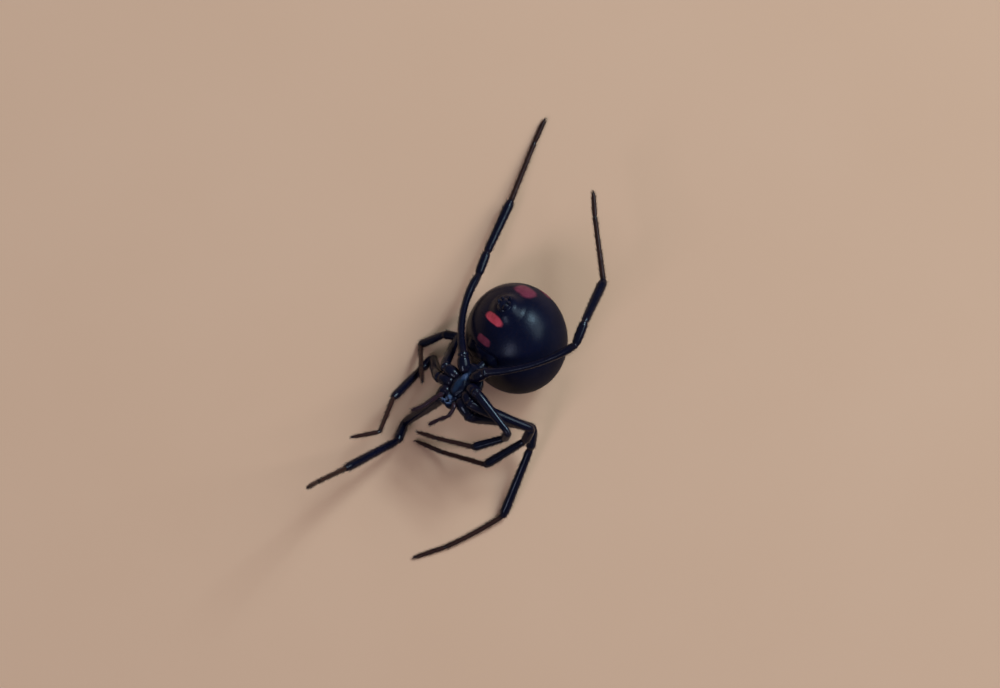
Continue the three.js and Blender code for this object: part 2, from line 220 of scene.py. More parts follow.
class Pieces:
    """Collects closed surfaces and turns them into one mesh object."""

    def __init__(self):
        self.points, self.faces, self.values, self.patches = [], [], [], []
        self.count = 0

    def rings(self, grid, value=0):
        """A closed surface from rings of points, first and last ring being single points.

        Neighbouring rings are joined by quads and the two end points by fans of triangles. The value is one
        for all points or one for each ring."""
        rows, around = grid.shape[:2]
        inner = grid[1:-1].reshape(-1, 3)
        points = np.concatenate([grid[:1, 0], inner, grid[-1:, 0]])
        index = 1 + np.arange((rows - 2) * around).reshape(rows - 2, around)
        beside = np.roll(index, -1, axis=1)
        quads = np.stack([index[:-1], beside[:-1], beside[1:], index[1:]], -1).reshape(-1, 4)
        start = np.stack([np.zeros(around, int), beside[0], index[0]], -1)
        end = np.stack([np.full(around, len(points) - 1), index[-1], beside[-1]], -1)
        value = np.broadcast_to(np.reshape(value, (-1, 1)), (rows, around))
        value = np.concatenate([value[:1, 0], value[1:-1].ravel(), value[-1:, 0]])
        self.add(points, [quads, start, end], value)

    def add(self, points, faces, value=None, patch=None):
        """Points with faces of three or four corners, a value for each point and a place on the unwrap.

        Where the volume inside comes out negative, the faces are turned round."""
        volume = 0
        for group in faces:
            first = points[group[:, 0]]
            for k in range(2, group.shape[1]):
                volume += np.einsum("ij,ij->", first, np.cross(points[group[:, k - 1]], points[group[:, k]]))
        if volume < 0:
            faces = [group[:, ::-1] for group in faces]
        self.points.append(points)
        self.faces += [group + self.count for group in faces if len(group)]
        self.values.append(np.zeros(len(points)) if value is None else value)
        self.patches.append(np.zeros((len(points), 2)) if patch is None else patch)
        self.count += len(points)

    def object(self, name, material, replaced=(), unwrap=False):
        """The mesh object, in metres, smooth, facing out, riding on the body.

        Where it would reach below the floor it is pressed flat on it."""
        points = np.concatenate(self.points) * MM
        points[:, 2] = np.maximum(points[:, 2], 0)
        corners = np.concatenate([group.ravel() for group in self.faces])
        sizes = np.concatenate([np.full(len(group), group.shape[1]) for group in self.faces])
        starts = np.concatenate([[0], np.cumsum(sizes)[:-1]])
        mesh = bpy.data.meshes.new(name)
        mesh.vertices.add(len(points))
        mesh.vertices.foreach_set("co", points.ravel())
        mesh.loops.add(len(corners))
        mesh.loops.foreach_set("vertex_index", corners.astype(np.int32))
        mesh.polygons.add(len(sizes))
        mesh.polygons.foreach_set("loop_start", starts.astype(np.int32))
        mesh.polygons.foreach_set("use_smooth", np.ones(len(sizes), bool))
        mesh.update(calc_edges=True)
        mesh.validate()
        level = mesh.attributes.new("along", "FLOAT", "POINT")
        level.data.foreach_set("value", np.concatenate(self.values).astype(np.float32))
        if unwrap:
            places = np.concatenate(self.patches)[corners]
            mesh.uv_layers.new(name="OFBake").data.foreach_set("uv", places.astype(np.float32).ravel())
        mesh.materials.append(material)
        piece = bpy.data.objects.new(name, mesh)
        bpy.context.scene.collection.objects.link(piece)
        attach(piece, BODY)
        if replaced:
            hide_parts(*replaced)
        return piece


class Segment:
    """A round limb segment between two joints.

    Its centre line is straight, or bows to the left by 4 * bow * t * (1 - t). At part t of the length the
    half width follows the outline. The section is an ellipse, high along up and wide across it."""

    def __init__(self, start, end, width, outline, up, bow=0.0, height=1.0):
        self.start, self.end = np.array(start, float), np.array(end, float)
        self.run = self.end - self.start
        self.length = np.linalg.norm(self.run)
        self.along = self.run / self.length
        self.side = unit(np.cross(self.along, up))
        self.up = np.cross(self.side, self.along)
        self.half, self.outline, self.bow, self.height = width / 2, outline, bow, height
        self.left = unit(np.cross([0, 0, 1], self.run)) if bow else np.zeros(3)

    def centre(self, t):
        """Points of the centre line at parts t of the length."""
        t = np.asarray(t, float)[..., None]
        return self.start + t * self.run + 4 * self.bow * t * (1 - t) * self.left

    def radius(self, t):
        """Half width at parts t of the length."""
        return self.half * eased(self.outline, t)

    def spoke(self, angle):
        """Direction out of the centre line at an angle from the side towards up."""
        angle = np.asarray(angle, float)[..., None]
        return np.cos(angle) * self.side + self.height * np.sin(angle) * self.up

    def surface(self, t, angle):
        """Points of the skin: the centre line plus the half width along the spoke."""
        return self.centre(t) + self.radius(t)[..., None] * self.spoke(angle)

    def dome(self, middle, radius, outward):
        """Rings of the dome over one end, from its tip down: cosine by sine of the lift above the end."""
        lift = np.radians(np.linspace(0, 90, DOME_RINGS + 1))[:-1]
        centres = middle + outward * (radius * END_DOME * np.cos(lift))[:, None] * self.along
        return centres[:, None], (radius * np.sin(lift))[:, None, None]

    def grid(self, rows, around):
        """Rings from end to end with a dome over each end, and the part of the length at each ring."""
        t = np.linspace(0, 1, rows)
        spokes = self.spoke(around_once(around))[None]
        tube = self.centre(t)[:, None] + self.radius(t)[:, None, None] * spokes
        first, last = self.radius(np.array([0.0, 1.0]))
        centre, reach = self.dome(self.start, first, -1)
        start = centre + reach * spokes
        centre, reach = self.dome(self.end, last, 1)
        end = (centre + reach * spokes)[::-1]
        level = np.concatenate([np.zeros(DOME_RINGS), t, np.ones(DOME_RINGS)])
        return np.concatenate([start, tube, end]), level


# Abdomen


def bump(distance):
    """One at no distance and zero from one on, with no corner at either end."""
    return np.clip(1 - np.asarray(distance) ** 2, 0, 1) ** 2


EGG_LONG = np.array([-np.cos(np.radians(ABDOMEN_SLOPE)), 0, -np.sin(np.radians(ABDOMEN_SLOPE))])
EGG_ACROSS = np.array([0, 1.0, 0])
EGG_AXES = np.array([EGG_LONG, EGG_ACROSS, np.cross(EGG_LONG, EGG_ACROSS)])
SPINNERET_AT = (-33, -2)
MOUND_RISE = 0.38
MOUND_PROFILE = ((0, 0.42), (0.45, 0.41), (0.75, 0.33), (1.05, 0.16), (1.3, 0.05), (1.55, 0), (12, 0))

# Forms of the abdomen: degrees forward from the middle of the belly, to each side, half length, half width
LUNG_COVER = (35, 18, 11, 10)
LUNG_COVER_RISE = 0.2
LUNG_GROOVE = (35, 18, 12, 11)
LUNG_GROOVE_DEPTH = 0.035
LUNG_GROOVE_WIDTH = 0.22
# The swelling between the lung covers, the fold behind it and the hollow of the waist, each with its rise
BELLY_FORMS = ((30, 0, 6, 9, 0.05), (24, 0, 2.2, 34, -0.07), (58, 0, 17, 20, -0.5))
# Dimples where muscles are fixed, in two rows down the back
MUSCLE_DIMPLES = ((120, 11), (145, 13), (168, 12), (-172, 10), (-150, 8))
DIMPLE_SIZE = 2.2
DIMPLE_DEPTH = 0.035


def egg(out):
    """Distance from the middle of the abdomen to the plain egg's surface along unit directions."""
    own = out @ EGG_AXES.T / np.array(ABDOMEN_HALF)
    return 1 / np.linalg.norm(own, axis=-1)


def belly_direction(forward, left=0.0):
    """Direction in the abdomen's frame: degrees forward from the middle of the belly, then to its left."""
    forward, left = np.radians(forward), np.radians(left)
    return np.stack([np.sin(forward) * np.cos(left), np.sin(left) + 0 * forward,
                     -np.cos(forward) * np.cos(left)], -1)


def spot(out, forward, left, long, wide):
    """How far out directions are from a spot, as a part of its half length and half width in degrees."""
    centre = belly_direction(forward, left)
    ahead = unit(np.cross(EGG_ACROSS, centre)) * -1
    beside = np.cross(centre, ahead)
    x = np.degrees(np.arctan2(out @ ahead, out @ centre))
    y = np.degrees(np.arctan2(out @ beside, out @ centre))
    return np.hypot(x / long, y / wide)


def abdomen_relief(out):
    """Height of the abdomen's own forms over the plain egg, in millimetres, along unit directions."""
    # The mound that carries the spinnerets, by the distance over the skin from its middle
    middle = belly_direction(*SPINNERET_AT)
    away = np.arccos(np.clip(out @ middle, -1, 1)) * egg(middle[None])[0]
    relief = eased(MOUND_PROFILE, away)
    for side in SIDES.values():
        forward, left, long, wide = LUNG_COVER
        relief += LUNG_COVER_RISE * bump(spot(out, forward, left * side, long, wide))
        forward, left, long, wide = LUNG_GROOVE
        from_rim = spot(out, forward, left * side, long, wide) - 1
        relief -= LUNG_GROOVE_DEPTH * bump(from_rim / LUNG_GROOVE_WIDTH)
    for forward, left, long, wide, rise in BELLY_FORMS:
        relief += rise * bump(spot(out, forward, left, long, wide))
    for forward, left in MUSCLE_DIMPLES:
        for side in SIDES.values():
            relief -= DIMPLE_DEPTH * bump(spot(out, forward, left * side, DIMPLE_SIZE, DIMPLE_SIZE))
    return relief


def abdomen_point(out):
    """Points of the skin along unit directions in the abdomen's frame."""
    return ABDOMEN.place(out * (egg(out) + abdomen_relief(out))[..., None])


def abdomen_skin(material):
    """Rings round the egg's long axis, from the end under the waist to the end past the spinnerets."""
    made = Pieces()
    made.rings(abdomen_point(round_rings(260, 400) @ EGG_AXES))
    return made.object("abdomen_skin", material, ["abdomen"])


# Front, rear and middle spinneret: forward of the seat, to each side, length, width, and lean to the side
SPINNERET_CONES = ((0.22, 0.24, 0.5, 0.42, 0.14), (-0.22, 0.22, 0.5, 0.38, 0.12),
                   (0.02, 0.1, 0.36, 0.24, 0.02))
SPINNERET_SUNK = 0.12


def spinneret_cluster(material):
    """Six spinnerets and the tail tubercle: blunt cones on the mound, inside a low round collar."""
    out = belly_direction(*SPINNERET_AT)
    seat = out * (egg(out[None])[0] + MOUND_RISE)
    ahead = unit(np.cross(EGG_ACROSS, out)) * -1
    made = Pieces()

    def cone(root, tip, width, outline, rows, around):
        """A cone between two points of the abdomen's frame."""
        root, tip, up = ABDOMEN.place(root), ABDOMEN.place(tip), ABDOMEN.turn(ahead)
        made.rings(*Segment(root, tip, width, OUTLINES[outline], up).grid(rows, around))

    for forward, left, length, width, lean in SPINNERET_CONES:
        for side in SIDES.values():
            root = seat + forward * ahead + side * left * EGG_ACROSS - SPINNERET_SUNK * out
            tip = root + (length + SPINNERET_SUNK) * out + side * lean * EGG_ACROSS - 0.25 * forward * ahead
            cone(root, tip, width, "spinneret", 24, 24)
    root = seat - 0.52 * ahead - SPINNERET_SUNK * out
    cone(root, root + 0.5 * out - 0.1 * ahead, 0.34, "tail_tubercle", 20, 24)
    cone(seat - 0.2 * out, seat + 0.06 * out, 1.16, "spinneret_collar", 16, 48)
    return made.object("spinneret_cluster", material, ["spinnerets"])


# Front of the body


def lobed(outline, angle):
    """Distance out to a closed outline by angle from straight ahead, smooth and alike on both sides."""
    return eased(outline, np.abs((np.degrees(angle) + 180) % 360 - 180))


# Shields of the front body. An outline is degrees from straight ahead, then the distance out to the rim
CARAPACE_MIDDLE = (0.1, 1.0)
CARAPACE_OUTLINE = ((0, 1.55), (14, 1.53), (27, 1.36), (42, 1.14), (62, 1.2), (90, 1.32), (115, 1.38),
                    (140, 1.56), (160, 1.64), (180, 1.68))
CARAPACE_RISE = 0.82
CARAPACE_UNDERSIDE = 0.3
# Raised head and central pit: how far forward, half length, half width, and rise or depth
HEAD = (0.85, 1.15, 0.85, 0.16)
PIT = (-0.35, 0.42, 0.2, 0.12)
# Furrows that run out from the pit, in degrees from straight ahead to each side, and half the width of one
FURROWS = (48, 84, 118, 150)
FURROW_SPREAD = 9
FURROW_DEPTH = 0.05
STERNUM_OUTLINE = ((0, 1.0), (20, 0.94), (34, 0.76), (60, 0.64), (90, 0.62), (125, 0.6), (150, 0.68),
                   (168, 0.9), (180, 1.04))
STERNUM_RIM = 0.22
STERNUM_RISE = 0.26
STERNUM_UNDERSIDE = 0.4
# Part of the way from the top to the underside at which each shield has its rim
CARAPACE_RIM_AT = 0.72
STERNUM_RIM_AT = 0.6


def carapace_surface(level, angle):
    """Domed shield in the front body's frame: at level zero its outline is a point at the top, then it grows
    by a sine to the rim, and at one it has shrunk to a point underneath. The height falls by a cosine. It
    has the raised head in front, a pit in the middle and furrows that run out from it."""
    top = level < CARAPACE_RIM_AT
    part = np.where(top, level / CARAPACE_RIM_AT, (1 - level) / (1 - CARAPACE_RIM_AT))
    edge = lobed(CARAPACE_OUTLINE, angle)
    reach = np.sin(part * np.pi / 2)
    forward = CARAPACE_MIDDLE[0] + reach * edge * np.cos(angle)
    left = reach * edge * np.sin(angle)
    lift = CARAPACE_RISE * np.cos(part * np.pi / 2) ** 0.9

    def form(at, long, wide, rise):
        return rise * bump(np.hypot((forward - at) / long, left / wide))

    furrow = sum(bump((((np.degrees(angle) - side * spoke + 180) % 360) - 180) / FURROW_SPREAD)
                 for side in SIDES.values() for spoke in FURROWS)
    fade = np.clip(reach * 2 - 0.5, 0, 1) * (1 - reach ** 6)
    shape = form(*HEAD) - form(*PIT) - FURROW_DEPTH * furrow * fade
    under = -CARAPACE_UNDERSIDE * np.cos(part * np.pi / 2)
    back = CARAPACE_MIDDLE[1] + np.where(top, lift + shape, under)
    return np.stack([forward, left, back], -1)


def sternum_surface(level, angle):
    """Shield between the legs, in the same frame and made in the same way: domed towards the belly, with a
    fine groove just inside its rim."""
    top = level < STERNUM_RIM_AT
    part = np.where(top, level / STERNUM_RIM_AT, (1 - level) / (1 - STERNUM_RIM_AT))
    edge = lobed(STERNUM_OUTLINE, angle)
    reach = np.sin(part * np.pi / 2)
    forward, left = reach * edge * np.cos(angle), reach * edge * np.sin(angle)
    dome = STERNUM_RISE * np.cos(part * np.pi / 2) ** 0.8 - 0.02 * bump((reach - 0.9) / 0.08)
    under = STERNUM_UNDERSIDE * np.cos(part * np.pi / 2)
    back = STERNUM_RIM + np.where(top, -dome, under) + 0 * angle
    return np.stack([forward, left, back], -1)


def shield(made, surface, rows, around):
    """A closed shield from its surface function."""
    level = np.linspace(0, 1, rows)[:, None]
    made.rings(FRONT.place(surface(level, around_once(around)[None])))


def ball(made, size, centre, rows=24, around=32):
    """Ellipsoid by its full size in the front body's frame, its rings running from front to back."""
    made.rings(FRONT.place(np.array(centre) + round_rings(rows, around) * np.array(size) / 2))


# Soft core between the shields, in its middle, at the head and at the rear: full size and centre
CORE_BALLS = (((2.5, 1.9, 1.0), (0, 0, 0.66)), ((1.5, 1.2, 0.9), (1.0, 0, 0.72)),
              ((1.5, 1.9, 0.9), (-1.15, 0, 0.74)))
LIP = ((0.4, 0.5, 0.3), (1.12, 0, 0.08))
MOUTH_LOBE = {"root": (0.96, 0.42, 0.26), "tip": (1.46, 0.17, 0.24), "width": 0.38}
# The waist ends inside the abdomen, this far from its middle
WAIST = {"root": (-1.1, 0, 0.74), "end_at": 3.35, "width": 0.84}


def front_shell(material):
    """Carapace, sternum, lip, the two mouth lobes beside it, the soft core between them and the waist."""
    made = Pieces()
    shield(made, carapace_surface, 90, 180)
    shield(made, sternum_surface, 60, 120)
    for size, centre in CORE_BALLS:
        ball(made, size, centre, 40, 60)
    ball(made, *LIP)
    for side in SIDES.values():
        root, tip = (FRONT.place(on_side(MOUTH_LOBE[end], side)) for end in ("root", "tip"))
        lobe = Segment(root, tip, MOUTH_LOBE["width"], OUTLINES["mouth_lobe"], FRONT.turn((0, 0, -1)))
        made.rings(*lobe.grid(30, 32))
    root = FRONT.place(WAIST["root"])
    end = ABDOMEN.centre + unit(root - ABDOMEN.centre) * WAIST["end_at"]
    waist = Segment(root, end, WAIST["width"], OUTLINES["waist"], FRONT.turn((0, 0, 1)))
    made.rings(*waist.grid(30, 32))
    return made.object("front_shell", material, ["cephalothorax"])


# Eyes, the front row and then the rear row: forward, to each side, towards the back, and full width
EYES = ((1.53, 0.15, 1.34, 0.24), (1.42, 0.42, 1.26, 0.21), (1.38, 0.17, 1.62, 0.22), (1.26, 0.45, 1.5, 0.2))


def eye_group(material):
    """Eight small round eyes in two rows on the front of the head."""
    made = Pieces()
    for forward, out, back, size in EYES:
        for side in SIDES.values():
            ball(made, (size,) * 3, (forward, side * out, back), 20, 24)
    return made.object("eye_group", material)


JAW = {"root": (1.72, 0.29, 0.66), "tip": (1.68, 0.27, -0.14), "width": 0.44, "depth": 1.1}
FANG = {"bend": 100, "reach": 0.26, "radius": 0.075, "tip_radius": 0.001}


def fang(made, root, side):
    """A thin hook that curls back and in: a round section that shrinks to its tip along an arc."""
    rows, around = 24, 16
    t = np.linspace(0, 1, rows)[:, None]
    bend = np.radians(FANG["bend"]) * t
    curl = 1 - np.cos(bend)
    centre = root + FANG["reach"] * np.concatenate([-0.9 * curl, -0.5 * side * curl, -np.sin(bend)], 1)
    radius = FANG["radius"] * (1 - t) ** 0.7 + FANG["tip_radius"]
    ahead = unit(np.gradient(centre, axis=0))
    side_axis = unit(np.cross(ahead, [0.3, 1.0, 0.2]))
    up_axis = np.cross(ahead, side_axis)
    turn = around_once(around)[None, :, None]
    spokes = np.cos(turn) * side_axis[:, None] + np.sin(turn) * up_axis[:, None]
    ends = np.repeat(centre[[0, -1], None], around, 1)
    ring = centre[:, None] + radius[..., None] * spokes
    made.rings(FRONT.place(np.concatenate([ends[:1], ring, ends[1:]])))


def jaw(name, material):
    """Basal segment, stout and tapering, with its fang."""
    root, tip = (on_side(JAW[end], SIDES[name]) for end in ("root", "tip"))
    made = Pieces()
    basal = Segment(FRONT.place(root), FRONT.place(tip), JAW["width"], OUTLINES["jaw"],
                    FRONT.turn((1, 0, 0)), height=JAW["depth"])
    made.rings(*basal.grid(30, 32))
    fang(made, tip, SIDES[name])
    return made.object(f"jaw_{name}", material, [f"chelicera_{name}"])


# Limbs

TROCHANTER_BEFORE_HIP = 0.22
TROCHANTER_PAST_HIP = 0.1
# Height of a leg's section as a part of its width
LEG_DEPTH = 1.06


def leg_segments(leg):
    """The seven segments of a leg, each turned so that up is the outer side of the knee's bend."""
    (side_name, pair), (hip, turns) = leg, LEG_POSES[leg]
    root = FRONT.place(on_side(COXA_ROOTS[pair], SIDES[side_name]))
    hip = FRONT.place(on_side(hip, SIDES[side_name]))
    runs = np.array([direction(*turn) for turn in turns])
    steps = runs * np.array(SEGMENT_LENGTHS[pair])[:, None]
    joints = hip + np.concatenate([np.zeros((1, 3)), np.cumsum(steps, 0)])
    up = unit(runs[0] - runs[2])
    sizes = {kind: widths[pair - 1] for kind, widths in WIDTHS.items()}
    bows = BOWS.get(leg, {})
    neck = hip - TROCHANTER_BEFORE_HIP * unit(hip - root)
    past = hip + TROCHANTER_PAST_HIP * runs[0]
    made = {"coxa": Segment(root, neck, sizes["coxa"], OUTLINES["coxa"], up),
            "trochanter": Segment(neck, past, sizes["trochanter"], OUTLINES["trochanter"], up)}
    for k, kind in enumerate(SEGMENTS):
        outline = OUTLINES["back_femur" if (kind, pair) == ("femur", 4) else kind]
        bow = bows.get(kind, 0)
        made[kind] = Segment(joints[k], joints[k + 1], sizes[kind], outline, up, bow, LEG_DEPTH)
    return made


def leg(name, node, upper_material, lower_material):
    """The leg as two pieces, parted at the end of the tibia. Returns the segments of each."""
    parts = leg_segments(name)
    lower = {kind: parts.pop(kind) for kind in ("metatarsus", "tarsus")}
    for label, segments, material, slot, replaced in (
            ("upper", parts, upper_material, "leg_black", ("femur", "tibia")),
            ("lower", lower, lower_material, "foot_brown", ("foot",))):
        made = Pieces()
        for kind, part in segments.items():
            made.rings(*part.grid(64 if kind in ("femur", "tibia", "metatarsus") else 36, 32))
        made.object(f"{node}_{label}", material, [f"{node}_{piece}" for piece in replaced])
    return parts, lower


def palp(name, material):
    """The palp's four segments, as one piece. Returns the segments, with the kind of setae that each has."""
    joints = FRONT.place(on_side(PALP_JOINTS[name], SIDES[name]))
    parts = {}
    made = Pieces()
    for k, (kind, width) in enumerate(zip(("trochanter", "femur", "patella", "tarsus"), PALP_WIDTHS)):
        outline = OUTLINES["tarsus" if kind == "tarsus" else "palp"]
        parts[kind] = Segment(joints[k], joints[k + 1], width, outline, FRONT.turn((0, 0, -1)))
        made.rings(*parts[kind].grid(30, 28))
    made.object(f"palp_{name}_limb", material, [f"palp_{name}"])
    return parts


CLAW_BEND = 80
# Claws of a foot: side that each stands on, its length and its radius at the root
CLAWS = ((1, 0.3, 0.035), (-1, 0.3, 0.035), (0, 0.18, 0.026))


def claw(root, ahead, inward, length, radius):
    """Rings of a thin claw: a round section that shrinks to a point along an arc from ahead to inward."""
    rows, around = 14, 10
    t = np.linspace(0, 1, rows)[:, None]
    bend = np.radians(CLAW_BEND) * t
    reach = length / np.radians(CLAW_BEND)
    ahead, inward = unit(ahead), unit(inward - np.dot(inward, unit(ahead)) * unit(ahead))
    centre = root + reach * (np.sin(bend) * ahead + (1 - np.cos(bend)) * inward)
    normal = -np.sin(bend) * ahead + np.cos(bend) * inward
    beside = np.cross(ahead, inward)
    angle = around_once(around)[None, :, None]
    size = radius * (1 - t) ** 0.7
    ring = centre[:, None] + size[..., None] * (np.cos(angle) * normal[:, None] + np.sin(angle) * beside)
    return np.concatenate([np.repeat(ring[:1].mean(1, keepdims=True), around, 1), ring])


def leg_claws(name, tarsus, material):
    """Two curved claws and a small middle one at the tip of the foot."""
    made = Pieces()
    for side, length, radius in CLAWS:
        root = tarsus.centre(1.0) + 0.03 * side * tarsus.side + (0.02 if side else -0.02) * tarsus.up
        made.rings(claw(root, tarsus.along + 0.25 * side * tarsus.side, -tarsus.up, length, radius))
    return made.object(name, material)


# Setae

SETA_SUNK = 0.02
# Corners of a seta's patch on the unwrap, and the patch's size
PATCH_CORNERS = np.array([[0, 0], [1, 0], [0.5, 1], [0, 0.5], [1, 0.5], [0.5, 1], [0.5, 0.5]]) - 0.5
PATCH_SIZE = 0.003


def setae(made, root, out, along, length, radius, patch, level=None, droop=0.3):
    """Thin closed spikes of three sides, all at once: a ring sunk in the skin, a ring at half length and a
    tip. out is the lean at the root, and the tip droops by a part of the length towards along. level is the
    value that the skin has at the root. A spike whose tip would be under the floor is left out."""
    tip = root + length[:, None] * (out * (1 - 0.3 * droop) + droop * along)
    kept = (root[:, 2] > SETA_SUNK) & (tip[:, 2] > 0.01)
    root, out, along = root[kept], out[kept], along[kept]
    length, radius, patch = length[kept], radius[kept], patch[kept]
    level = np.zeros(len(root)) if level is None else level[kept]
    count = len(root)
    across = unit(np.cross(out, along))
    other = np.cross(across, out)
    angle = np.radians([90, 210, 330])
    ring = np.cos(angle)[None, :, None] * across[:, None] + np.sin(angle)[None, :, None] * other[:, None]
    length, radius = length[:, None, None], radius[:, None, None]
    low = root[:, None] - SETA_SUNK * out[:, None] + radius * ring
    middle = root[:, None] + 0.5 * length * out[:, None] + 0.6 * radius * ring + (
        0.25 * droop * length * along[:, None])
    tip = root[:, None] + length * out[:, None] * (1 - 0.3 * droop) + droop * length * along[:, None]
    points = np.concatenate([low, middle, tip], 1).reshape(-1, 3)
    first = 7 * np.arange(count)[:, None]
    quads = [first + np.array([k, (k + 1) % 3, 3 + (k + 1) % 3, 3 + k]) for k in range(3)]
    ends = [first + np.array([3 + k, 3 + (k + 1) % 3, 6]) for k in range(3)] + [first + np.array([2, 1, 0])]
    places = (patch[:, None] + PATCH_SIZE * PATCH_CORNERS).reshape(-1, 2)
    made.add(points, [np.concatenate(quads), np.concatenate(ends)], np.repeat(level, 7), places)


# Rows of setae around a segment
SETA_ROWS = 14
# Comb of stout bristles under the tarsus of the back legs
COMB_BRISTLES = 12
COMB_SPAN = (0.1, 0.86)
COMB_LENGTH = 0.34
COMB_RADIUS = 0.016
COMB_DROOP = 0.5


def limb_setae(name, parts, material):
    """Setae in loose rows over each segment, leaning towards the foot, and a comb under the hind tarsus.

    On the unwrap each segment has a band of its own, with the turn across it and the length up it."""
    made = Pieces()
    for order, (kind, part) in enumerate(parts.items()):
        density, size = SETAE[kind]
        count = int(density * part.length)
        t = rng.uniform(0.02, 0.99, count)
        angle = rng.integers(0, SETA_ROWS, count) / SETA_ROWS * 2 * np.pi + rng.normal(0, 0.1, count)
        lean = unit(unit(part.spoke(angle)) * rng.uniform(0.5, 0.9, count)[:, None] + part.along)
        length = size * rng.uniform(0.7, 1.4, count)
        row = (order + 0.06 + 0.88 * t) / len(parts)
        patch = np.stack([0.03 + 0.94 * ((angle / (2 * np.pi)) % 1), row], -1)
        along = np.broadcast_to(part.along, lean.shape)
        setae(made, part.surface(t, angle), lean, along, length, np.full(count, SETA_RADIUS), patch, t)
        if kind == "tarsus" and "_4_" in name:
            t = np.linspace(*COMB_SPAN, COMB_BRISTLES)
            root = part.surface(t, np.full(len(t), -np.pi / 2))
            along = np.broadcast_to(part.along, root.shape)
            patch = np.stack([np.full(len(t), 0.5), (order + 0.06 + 0.88 * t) / len(parts)], -1)
            length, radius = np.full(len(t), COMB_LENGTH), np.full(len(t), COMB_RADIUS)
            setae(made, root, unit(0.9 * along - part.up), along, length, radius, patch, t, COMB_DROOP)
    return made.object(f"{name}_setae", material, unwrap=True)


# Hairs on each shield: its surface, how many, the levels between which they stand, how far back the point
# lies that they lean away from, and where its half of the unwrap starts
BODY_HAIRS = (
    (carapace_surface, 1500, (0.08, 0.7), 0.7, 0.0),
    (sternum_surface, 420, (0.06, 0.56), 0.9, 0.5),
)


def body_setae(material):
    """Short hairs on both shields of the front body, leaning forward."""
    made = Pieces()
    for surface, count, (low, high), middle, column in BODY_HAIRS:
        level = np.sqrt(rng.uniform(low ** 2, high ** 2, count))
        angle = rng.uniform(0, 2 * np.pi, count)
        local = surface(level, angle)
        out = unit(FRONT.turn(local - np.array([0, 0, middle])))
        flow = np.broadcast_to(FRONT.axes[0], out.shape)
        lean = unit(out * rng.uniform(0.7, 1.1, count)[:, None] + flow)
        patch = np.stack([column + 0.02 + 0.46 * angle / (2 * np.pi), 0.02 + 0.96 * level], -1)
        length = rng.uniform(0.09, 0.17, count)
        setae(made, FRONT.place(local), lean, flow, length, np.full(count, HAIR_RADIUS), patch)
    return made.object("body_setae", material, unwrap=True)


ABDOMEN_HAIRS = 5600
# Nearer the floor than this the abdomen is left bare
BARE_BELOW = 0.35


def abdomen_setae(material):
    """Short hairs, evenly scattered over the abdomen by the golden angle, leaning towards the spinnerets."""
    order = np.arange(ABDOMEN_HAIRS) + 0.5
    tilt = np.arccos(1 - 2 * order / ABDOMEN_HAIRS)
    turn = np.pi * (1 + 5 ** 0.5) * order + rng.normal(0, 0.012, ABDOMEN_HAIRS)
    own = np.stack([np.cos(tilt), np.sin(tilt) * np.cos(turn), np.sin(tilt) * np.sin(turn)], -1)
    out = own @ EGG_AXES
    root = abdomen_point(out)
    free = root[:, 2] > BARE_BELOW
    out, root, tilt, turn = out[free], root[free], tilt[free], turn[free]
    normal = unit(ABDOMEN.turn(unit((out @ EGG_AXES.T / np.array(ABDOMEN_HALF) ** 2) @ EGG_AXES)))
    rear = ABDOMEN.turn(belly_direction(*SPINNERET_AT))
    flow = unit(rear - (normal @ rear)[:, None] * normal + 1e-6)
    lean = unit(normal * rng.uniform(0.35, 0.6, len(root))[:, None] + flow)
    length = rng.uniform(0.1, 0.2, len(root))
    patch = np.stack([0.02 + 0.96 * ((turn / (2 * np.pi)) % 1), 0.02 + 0.96 * tilt / np.pi], -1)
    made = Pieces()
    setae(made, root, lean, flow, length, np.full(len(root), HAIR_RADIUS), patch)
    return made.object("abdomen_setae", material, unwrap=True)


# Materials


class Value:
    """A number, vector or colour socket in a material. Arithmetic on it adds Math nodes."""

    def __init__(self, paint, socket):
        self.paint, self.socket = paint, socket

    def __add__(self, other):
        return self.paint.math("ADD", self, other)

    def __sub__(self, other):
        return self.paint.math("SUBTRACT", self, other)

    def __rsub__(self, other):
        return self.paint.math("SUBTRACT", other, self)

    def __mul__(self, other):
        return self.paint.math("MULTIPLY", self, other)

    def __truediv__(self, other):
        return self.paint.math("DIVIDE", self, other)

    def __pow__(self, other):
        return self.paint.math("POWER", self, other)

    __radd__ = __add__
    __rmul__ = __mul__


